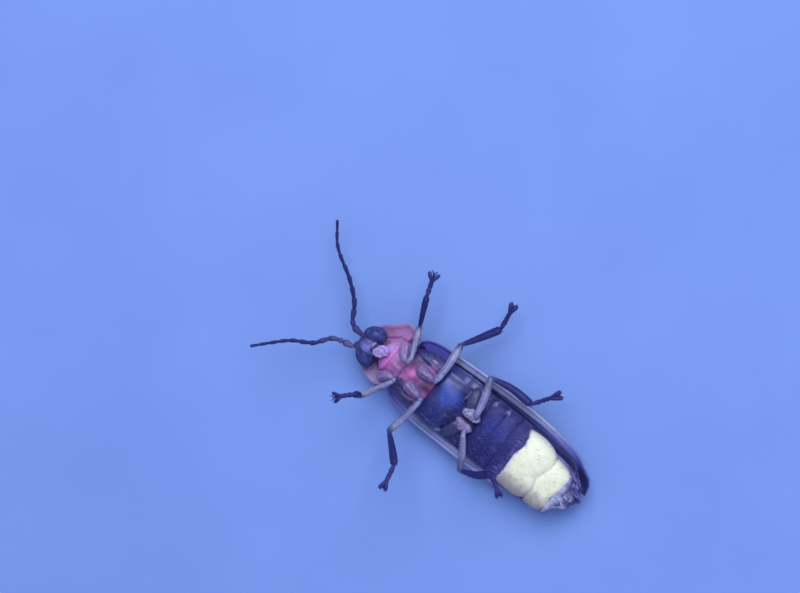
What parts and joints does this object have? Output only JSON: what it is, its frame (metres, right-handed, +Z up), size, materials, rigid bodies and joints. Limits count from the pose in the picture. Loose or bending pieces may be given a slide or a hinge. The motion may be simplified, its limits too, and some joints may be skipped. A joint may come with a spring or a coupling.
{
  "type": "firefly",
  "caption": "Life-size male firefly lying on its back with its legs in a walking pose: dark wing cases, pink fore body, cream light organs under the tail, segmented antennae and clawed feet.",
  "frame": {"origin": "on the floor, below the middle of the whole animal's box", "axes": "+X towards the head, +Y towards the insect's own right side, +Z up from the floor, out of its underside"},
  "size_m": [0.0176, 0.0106, 0.0046],
  "materials": {
    "wing_case": "dark brown-black cuticle with a pale straw edge, satin",
    "rose_cuticle": "rose-pink cuticle, slightly translucent, satin",
    "dark_cuticle": "blue-black glossy cuticle with short down",
    "light_organ": "cream, waxy, translucent cuticle over the light organ",
    "tail_cuticle": "greyish translucent cuticle",
    "face_cuticle": "grey-brown cuticle with short down",
    "eye": "black compound eye, fine facets, glossy",
    "pale_cuticle": "straw to tan cuticle with short down",
    "limb_cuticle": "brown-black cuticle with short down"
  },
  "bodies": {
    "root": {"wing_case_left": "wing_case", "wing_case_right": "wing_case", "pronotum": "rose_cuticle", "prosternum": "rose_cuticle", "mesothorax": "rose_cuticle", "metathorax": "dark_cuticle", "sternite_3": "dark_cuticle", "sternite_4": "dark_cuticle", "sternite_5": "dark_cuticle", "light_organ_front": "light_organ", "light_organ_rear": "light_organ", "tail_tip": "tail_cuticle", "head": "face_cuticle", "eye_left": "eye", "eye_right": "eye", "mouthparts": "pale_cuticle", "antenna_left": "limb_cuticle", "antenna_right": "limb_cuticle", "coxa_front_left": "pale_cuticle", "femur_front_left": "pale_cuticle", "tibia_front_left": "limb_cuticle", "tarsus_front_left": "limb_cuticle", "coxa_front_right": "pale_cuticle", "femur_front_right": "pale_cuticle", "tibia_front_right": "limb_cuticle", "tarsus_front_right": "limb_cuticle", "coxa_middle_left": "pale_cuticle", "femur_middle_left": "pale_cuticle", "tibia_middle_left": "limb_cuticle", "tarsus_middle_left": "limb_cuticle", "coxa_middle_right": "pale_cuticle", "femur_middle_right": "pale_cuticle", "tibia_middle_right": "limb_cuticle", "tarsus_middle_right": "limb_cuticle", "coxa_hind_left": "pale_cuticle", "femur_hind_left": "pale_cuticle", "tibia_hind_left": "limb_cuticle", "tarsus_hind_left": "limb_cuticle", "coxa_hind_right": "pale_cuticle", "femur_hind_right": "pale_cuticle", "tibia_hind_right": "limb_cuticle", "tarsus_hind_right": "limb_cuticle"}
  },
  "joints": []
}
